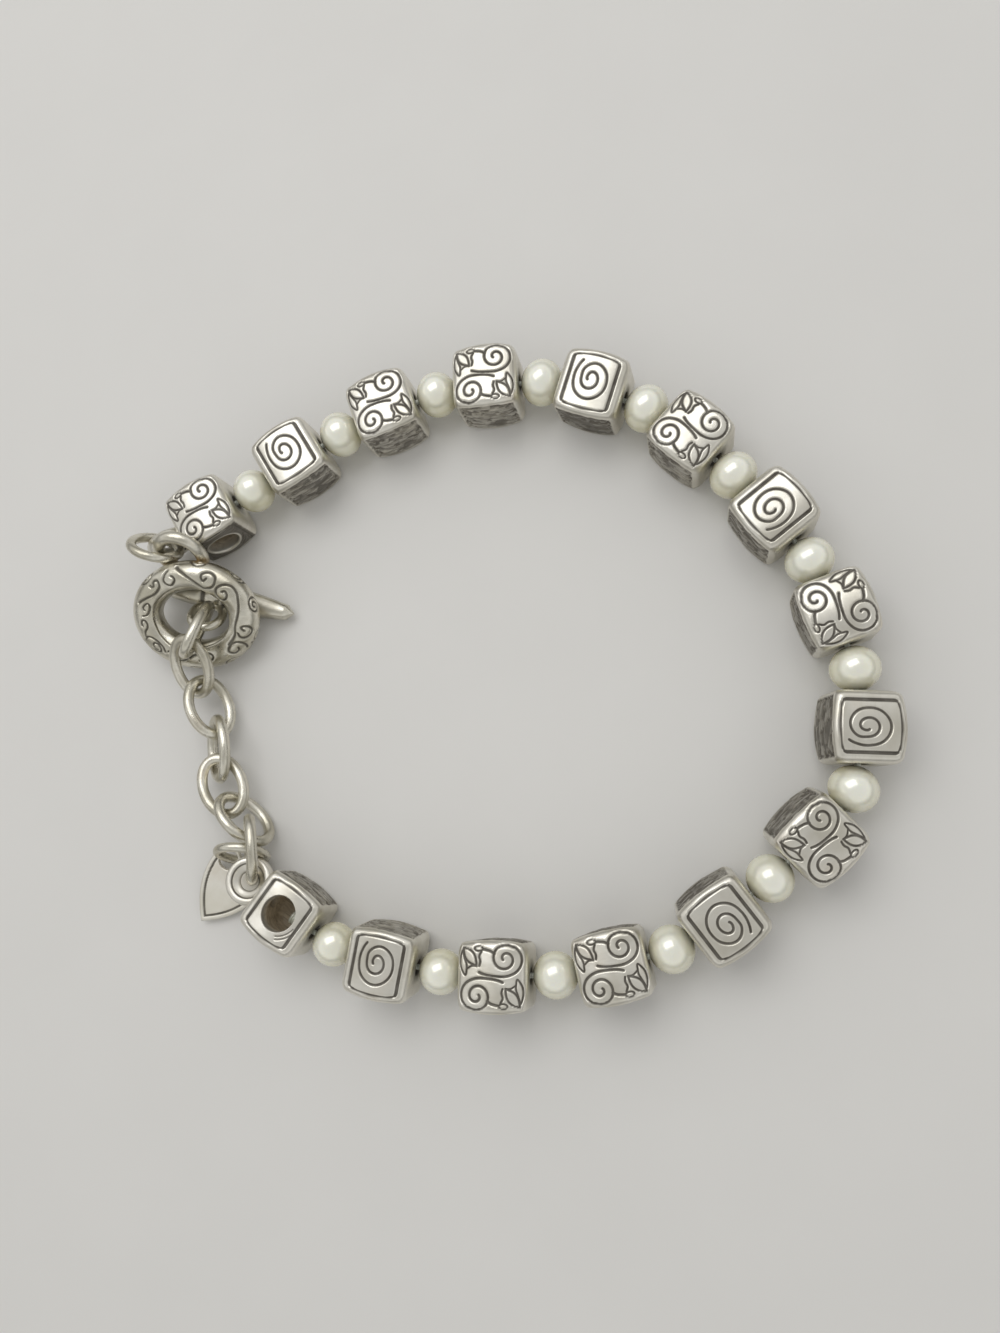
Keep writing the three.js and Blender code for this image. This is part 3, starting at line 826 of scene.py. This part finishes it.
def darken_chamber(mesh):
    """Marks the inside of the chamber, brown with old oxide."""
    points = np.array([v.co for v in mesh.vertices]) / MM
    s = 2 * points[:, 0] / BEAD_LENGTH
    half = (BEAD_MID - (BEAD_MID - BEAD_END) * s * s) / 2
    x, y, z = np.abs(points).T
    inside = (x < 3.0) & (y < half - 0.5) & (z < half - 0.45)
    mesh.attributes["chamber"].data.foreach_set("value", inside.astype(np.float32))


# The first lies with its window sideways, towards the middle, so its inner face needs as fine a mesh as
# its top.
for index, node, designs, inner in (
    # Its window face is painted with shade round the window.
    (0, "end_bead_01", {0: "painted_shade_window", 3: "scroll"}, 84),
    (-1, "end_bead_15", {0: "window"}, 38),
):
    centre, yaw, roll, _ = beads[index]
    mesh = make_end_bead(f"{node}_mesh", designs, inner)
    finish_piece(place_object(f"{node}_fine", mesh, place_matrix(*centre, yaw, 0, roll)),
                 node)


# ---- thread and crimps ----
def finer(path, times=3):
    """More points along the same straight stretches."""
    path = np.array(path)
    steps = np.linspace(0, len(path) - 1, times * len(path))
    return np.stack([np.interp(steps, np.arange(len(path)), path[:, k]) for k in range(3)], 1)


def crimp_part(ridges=4, steps=24):
    """A short ribbed tube."""
    half = CRIMP_LENGTH / 2
    profile = []
    for k in range(steps + 1):
        rib = 0.5 + 0.5 * math.cos(2 * math.pi * k * ridges / steps)
        profile.append((-half + CRIMP_LENGTH * k / steps, CRIMP_RADIUS - 0.1 * rib))
    profile += [(half, CRIMP_BORE), (-half, CRIMP_BORE)]
    return lathe_part(profile, 28, closed=True)


mesh = make_mesh("thread_wire", [tube_part(finer(thread), WIRE_RADIUS)], steel)
finish_piece(place_object("thread_wire", mesh, Matrix.Identity(4)), "beading_wire")

for (centre, yaw), node in zip(crimps, ("crimp_01", "crimp_15")):
    mesh = make_mesh(f"{node}_coil", [crimp_part()], steel)
    finish_piece(place_object(f"{node}_coil", mesh, place_matrix(*centre, yaw)), node)


# ---- toggle ring with its soldered loop, toggle bar ----
# Engraved lines on the toggle ring with the half-width of each. Points are in degrees: round the ring, then
# round its wire (0 outermost, 90 on top).
RING_STROKES = [
    ([(-41, 56), (-43, 46), (-48, 46), (-51, 57), (-52, 70), (-49, 80), (-43, 84), (-37, 75), (-34, 58),
      (-34, 38), (-37, 18)], 0.15),
    ([(-19, 66), (-17, 80), (-14, 74), (-13, 58), (-14, 42), (-18, 34), (-23, 42), (-27, 57), (-28, 74),
      (-25, 86)], 0.15),
    ([(-46, 90), (-30, 94), (-22, 103), (-14, 106), (-4, 100), (10, 83), (20, 69), (27, 57), (35, 52),
      (41, 60), (46, 76), (49, 95), (48, 114), (43, 128), (37, 132), (33, 123), (31, 109), (33, 93),
      (38, 86), (41, 96)], 0.16),
    ([(64, 76), (67, 90), (70, 80), (70, 66), (66, 54), (61, 50), (56, 58), (54, 75), (54, 94), (58, 110),
      (65, 120)], 0.15),
    ([(66, 120), (70, 114), (76, 104), (86, 82), (94, 56), (97, 40)], 0.17),
    ([(104, 72), (102, 78), (101, 90), (105, 103), (109, 106), (113, 94), (114, 78), (111, 62),
      (107, 48)], 0.14),
    ([(132, 68), (131, 76), (128, 76), (127, 66), (124, 62), (121, 71), (122, 90), (127, 100), (134, 103),
      (141, 97), (149, 84), (158, 66)], 0.15),
    ([(165, 96), (162, 88), (157, 92), (153, 102), (157, 113), (165, 114), (172, 106), (174, 90)], 0.12),
    ([(188, 80), (184, 78), (180, 86), (182, 97), (188, 100), (193, 94), (196, 80), (202, 66)], 0.14),
    ([(222, 66), (219, 62), (215, 68), (214, 80), (219, 86), (224, 80), (226, 68), (222, 54), (212, 50),
      (205, 58), (203, 76), (208, 90), (217, 95), (226, 90), (231, 76)], 0.13),
    ([(247, 86), (244, 76), (248, 66), (254, 70), (257, 82), (254, 96), (246, 102), (238, 96),
      (234, 84)], 0.13),
    ([(276, 80), (272, 72), (276, 62), (283, 64), (288, 78), (286, 94), (276, 102), (266, 96),
      (260, 84)], 0.13),
]
# Volutes low on the ring: centre in the same degrees and the direction its line starts in.
LOW_VOLUTES = [(8, 14, 200), (40, -8, 20), (76, 12, 160), (132, 20, 250), (166, -4, 40), (200, 16, 140),
               (232, -6, 320), (262, 18, 80), (300, 10, 210), (336, -6, 30)]
# Where the smooth inner wall of the ring begins, in the same degrees.
RING_RIDGE = [
    (-90, 118), (-60, 122), (-42, 122), (-15, 136), (0, 142), (45, 146), (58, 142), (70, 130), (84, 120),
    (98, 116), (120, 118), (150, 122), (172, 127), (197, 124), (220, 114), (236, 106), (270, 118),
]
# Millimetres to a degree, round the ring and round its wire.
RING_TURN_MM, RING_SECTION_MM = math.radians(5.3), math.radians(1.55)


def ring_ornament(t, q):
    """Depth of the scrolls, and of the dished inner wall, over the toggle ring."""
    t, q = np.broadcast_arrays(np.degrees(t), np.degrees(q))
    t, q = (t + 90) % 360 - 90, (q + 90) % 360 - 90
    lines = [([(a * RING_TURN_MM, b * RING_SECTION_MM) for a, b in curve(line, 6)], half)
             for line, half in RING_STROKES]
    lines += [(spiral_line((a * RING_TURN_MM, b * RING_SECTION_MM), 0.1, 0.42, start, 1.7), 0.12)
              for a, b, start in LOW_VOLUTES]
    lap_mm = 360 * RING_TURN_MM
    laps = [([(x + lap * lap_mm, y) for x, y in line], half) for line, half in lines for lap in (-1, 0, 1)]
    depth = stroke_depth(t * RING_TURN_MM, q * RING_SECTION_MM, laps, RING_STROKE_DEPTH)
    ridge_t, ridge_q = zip(*RING_RIDGE)
    past = (q - np.interp(t, ridge_t, ridge_q)) * RING_SECTION_MM
    return depth, 0.24 * smooth(0.0, 0.3, past) * (1 - smooth(1.9, 2.9, past))


def ring_core(a, b):
    """The line at the middle of a ring's wire."""
    around = np.linspace(0, 2 * math.pi, 60, endpoint=False)
    return np.stack([a * np.cos(around), b * np.sin(around), 0 * around], 1)


ring_at, loop_at = place_matrix(*RING_PLACE), place_matrix(*LOOP_PLACE)
loop_in_ring = ring_at.inverted() @ loop_at
toggle_ring = [
    ring_part(RING_A, RING_B, RING_WIRE * RING_FIT, 400, 110, ring_ornament, seed=2, uneven=0.01, stain=0.17,
              height=RING_HEIGHT * RING_FIT),
    moved(ring_part(LOOP_RADIUS, LOOP_RADIUS, LOOP_WIRE * SOLDERED_FIT, 80, 24, seed=4), loop_in_ring),
]
loop_core = moved((ring_core(LOOP_RADIUS, LOOP_RADIUS), [], {}), loop_in_ring)[0]
oval_core = ring_core(RING_A, RING_B)
# Each is stained with solder where it comes near the other.
for part, core, reach in ((toggle_ring[0], loop_core, LOOP_WIRE), (toggle_ring[1], oval_core, RING_WIRE)):
    gap = np.min(np.linalg.norm(part[0][:, None] - core[None], axis=2), axis=1) - reach
    part[2]["solder"] = smooth(0.75, 0.2, gap)
piece = place_object("toggle_ring_fine", make_mesh("toggle_ring_fine", toggle_ring, fittings), ring_at)
finish_piece(piece, "toggle_ring")


def bar_profile():
    """Thickest at the middle, blunt at both ends."""
    out = [(-BAR_HALF, 0.0)]
    for s in np.linspace(-1, 1, 61):
        taper = 1 - (1 - BAR_TIP / BAR_RADIUS) * abs(s) ** BAR_TAPER
        out.append((s * (BAR_HALF - BAR_TIP), BAR_RADIUS * TURNED_FIT * taper))
    return out + [(BAR_HALF, 0.0)]


def bar_ornament(x, q):
    """Four shallow hollows along each arm with a ridge between, and a groove on each side of the eye."""
    out = np.abs(x)
    along = smooth(1.4, 2.4, out) * (1 - smooth(6.2, 8.3, out))
    hollow = 0.06 * np.abs(np.cos(2 * q + 0.15)) * along
    return np.maximum(hollow, 0.18 * (1 - smooth(0.12, 0.28, np.abs(out - 1.25))))


eye_ring = ring_part(EYE_LOOP, EYE_LOOP, EYE_LOOP_WIRE * SOLDERED_FIT, 56, 18, seed=6)
eye_matrix = (Matrix.Rotation(math.radians(EYE_LOOP_ROLL), 4, "X")
              @ Matrix.Translation((0, -EYE_LOOP_REACH, 0)))
bar = [lathe_part(bar_profile(), 64, bar_ornament), moved(eye_ring, eye_matrix)]
piece = place_object("toggle_bar_fine", make_mesh("toggle_bar_fine", bar, fittings),
                     place_matrix(*BAR_PLACE))
finish_piece(piece, "toggle_bar")


# ---- chain, rings and charm ----
def wire_link(name, node, where, a, b, wire, seed):
    """One slightly uneven wire link or jump ring in its place."""
    part = ring_part(a, b, wire * LINK_FIT, 72, 20, seed=seed, uneven=0.03)
    finish_piece(place_object(name, make_mesh(name, [part], fittings), place_matrix(*where)),
                 node)


for i, where in enumerate(CHAIN):
    wire_link(f"link_fine_{i}", f"chain_link_{i}", where, LINK_A, LINK_B, LINK_WIRE, 10 + i)
jump = JUMP_RADIUS * TURNED_FIT
wire_link("jump_ring_fine", "ring_link", RING_LINK, jump, jump, JUMP_WIRE, 30)
wire_link("charm_ring_fine", "charm_ring", CHARM_RING, jump, jump, CHARM_RING_WIRE, 30)


def bezier(p0, p1, p2, p3, n=14):
    t = np.linspace(0, 1, n, endpoint=False)[:, None]
    p0, p1, p2, p3 = (np.array(p, float) for p in (p0, p1, p2, p3))
    return (1 - t) ** 3 * p0 + 3 * (1 - t) ** 2 * t * p1 + 3 * (1 - t) * t * t * p2 + t ** 3 * p3


def heart_outline():
    """From the tip up one flank and lobe to the cleft, and back down the other."""
    half = LOBE_SIDE + LOBE
    flank = bezier((0, 0), (0.24 * LOBE_AT, 0.52 * half), (0.52 * LOBE_AT, half), (LOBE_AT, half))
    end = math.pi - math.acos(LOBE_SIDE / LOBE)
    angles = np.linspace(0, end, 22)
    lobe = np.stack([LOBE_AT + LOBE * np.sin(angles), LOBE_SIDE + LOBE * np.cos(angles)], 1)
    left = np.concatenate([flank, lobe])
    return np.concatenate([left, left[::-1][1:-1] * [1, -1]])


def from_hole(points):
    """Distance from the middle of the charm's hole."""
    return np.hypot(points[:, 0] - CHARM_HOLE_AT, points[:, 1] - CHARM_HOLE_SIDE)


def within(points, outline):
    """Which points lie inside the outline."""
    inside = np.zeros(len(points), bool)
    for (ax, ay), (bx, by) in zip(outline, np.roll(outline, -1, 0)):
        crosses = (ay > points[:, 1]) != (by > points[:, 1])
        where = ax + (points[:, 1] - ay) / (by - ay + 1e-12) * (bx - ax)
        inside ^= crosses & (points[:, 0] < where)
    return inside


def heart_triangles(outline, closed):
    """Points and triangles of the flat heart with its hole, on a fine net inside."""
    angles = np.linspace(0, 2 * math.pi, 30, endpoint=False)
    hole = np.stack([CHARM_HOLE_AT + CHARM_HOLE * np.cos(angles),
                     CHARM_HOLE_SIDE + CHARM_HOLE * np.sin(angles)], 1)
    net, clear = 0.11, 0.07
    xs, ys = np.meshgrid(np.arange(0.1, 8.6, net), np.arange(-3.3, 3.3, net))
    inner = np.stack([xs.ravel(), ys.ravel()], 1)
    to_edge = segment_distance(inner[:, 0], inner[:, 1], closed)
    inner = inner[(to_edge > clear) & (np.abs(from_hole(inner) - CHARM_HOLE) > clear)]
    everything = np.concatenate([outline, hole, inner])
    m, h = len(outline), len(hole)
    edges = [(k, (k + 1) % m) for k in range(m)] + [(m + k, m + (k + 1) % h) for k in range(h)]
    found = delaunay_2d_cdt([Vector(p) for p in everything.tolist()], edges, [], 0, 1e-5)
    points = np.array([tuple(p) for p in found[0]])
    centres = np.array([points[list(t)].mean(0) for t in found[2]])
    kept = within(centres, outline) & (from_hole(centres) > CHARM_HOLE)
    triangles = np.array([t for t, keep in zip(found[2], kept) if keep])
    used, triangles = np.unique(triangles, return_inverse=True)
    return points[used], [tuple(t) for t in triangles.reshape(-1, 3).tolist()]


def edge_walls(triangles, count):
    """Quads between the open edges of the upper sheet and of the lower one, count points further on."""
    used = {edge: True for t in triangles for edge in zip(t, t[1:] + t[:1])}
    return [(b, a, a + count, b + count) for a, b in used if (b, a) not in used]


def heart_part():
    """A flat tag with softened edges, a line inside its rim and a faintly sunk bare face."""
    outline = heart_outline()
    closed = [tuple(p) for p in np.concatenate([outline, outline[:1]])]
    points, triangles = heart_triangles(outline, closed)
    edge = segment_distance(points[:, 0], points[:, 1], closed)
    rim_line = 1 - smooth(0.05, 0.17, np.abs(edge - 0.52))
    top = CHARM_THICK - 0.1 * (1 - smooth(0.0, 0.16, edge)) - 0.1 * rim_line - 0.03 * smooth(0.5, 0.7, edge)
    bottom = 0.08 * (1 - smooth(0.0, 0.14, edge))
    count = len(points)
    faces = triangles + [tuple(v + count for v in t[::-1]) for t in triangles] + edge_walls(triangles, count)
    sheets = np.concatenate([np.column_stack([points, top]), np.column_stack([points, bottom])])
    return sheets, faces, {"groove": np.concatenate([rim_line, np.zeros(count)])}


piece = place_object("heart_fine", make_mesh("heart_fine", [heart_part()], charm_silver),
                     place_matrix(*HEART))
finish_piece(piece, "heart_charm")


# ---- floor, light and camera ----
def floor_material():
    """Plain pale paper."""
    material, tree = new_material("studio_floor")
    n = Nodes(tree)
    where = n.add("ShaderNodeTexCoord").outputs["Object"]
    grain = n.noise(where, 60.0, 4.0)
    colour = n.mix(grain, (0.72, 0.71, 0.69, 1), (0.76, 0.75, 0.73, 1))
    n.output(n.add("ShaderNodeBsdfPrincipled", {"Base Color": colour, "Roughness": 0.85}).outputs[0])
    return material


bpy.ops.mesh.primitive_plane_add(size=1.6, location=(0, 0, 0))
floor = bpy.context.object
floor.name = "studio_floor"
floor.data.materials.append(floor_material())

# Brightness of the studio from the horizon (0) to straight above (1).
SKY_STOPS = [(0.0, 0.12), (0.2, 0.3), (0.45, 0.95), (0.80, 0.62), (1.0, 0.50)]


def studio_world():
    """Soft light all round, brightest part of the way up."""
    made = bpy.data.worlds.new("studio")
    made.use_nodes = True
    made.node_tree.nodes.clear()
    sky = Nodes(made.node_tree)
    upward = sky.add("ShaderNodeSeparateXYZ",
                     {0: sky.add("ShaderNodeTexCoord").outputs["Generated"]}).outputs[2]
    glow = sky.add("ShaderNodeValToRGB", {0: upward})
    while len(glow.color_ramp.elements) < len(SKY_STOPS):
        glow.color_ramp.elements.new(0.5)
    for stop, (at, level) in zip(glow.color_ramp.elements, SKY_STOPS):
        stop.position, stop.color = at, (level, level * 0.995, level * 0.97, 1)
    light = sky.add("ShaderNodeBackground", {"Color": glow.outputs[0], "Strength": 0.9})
    sky.add("ShaderNodeOutputWorld", {"Surface": light.outputs[0]})
    return made


bpy.context.scene.world = studio_world()


def soft_box(name, location, target, width, depth, power):
    """A rectangular lamp of that size in metres and power in watts, facing the target."""
    light = bpy.data.lights.new(name, "AREA")
    light.shape = "RECTANGLE"
    light.size, light.size_y, light.energy = width, depth, power
    obj = bpy.data.objects.new(name, light)
    bpy.context.scene.collection.objects.link(obj)
    obj.location = location
    obj.rotation_euler = (Vector(target) - Vector(location)).to_track_quat("-Z", "Y").to_euler()


soft_box("window_side", (-0.07, 0.15, 0.34), (0, 0, 0), 0.34, 0.22, 0.42)

# The camera, above and a little to one side: its place in millimetres, its right and its back direction.
CAMERA_AT = Vector((22.0, -15.0, 101.4))
CAMERA_RIGHT, CAMERA_BACK = Vector((0.9804, 0.0, -0.1969)), Vector((0.1949, -0.1436, 0.9703))
CAMERA_LENS = 27.28
camera_data = bpy.data.cameras.new("camera")
camera_data.lens, camera_data.clip_start = CAMERA_LENS, MM
camera = bpy.data.objects.new("camera", camera_data)
bpy.context.scene.collection.objects.link(camera)
camera_up = CAMERA_BACK.cross(CAMERA_RIGHT).normalized()
axes = Matrix((CAMERA_RIGHT, camera_up, CAMERA_BACK)).transposed().to_4x4()
camera.matrix_world = Matrix.Translation((CAMERA_AT + SHIFT) * MM) @ axes
bpy.context.scene.camera = camera
bpy.context.scene.view_settings.view_transform = "Standard"
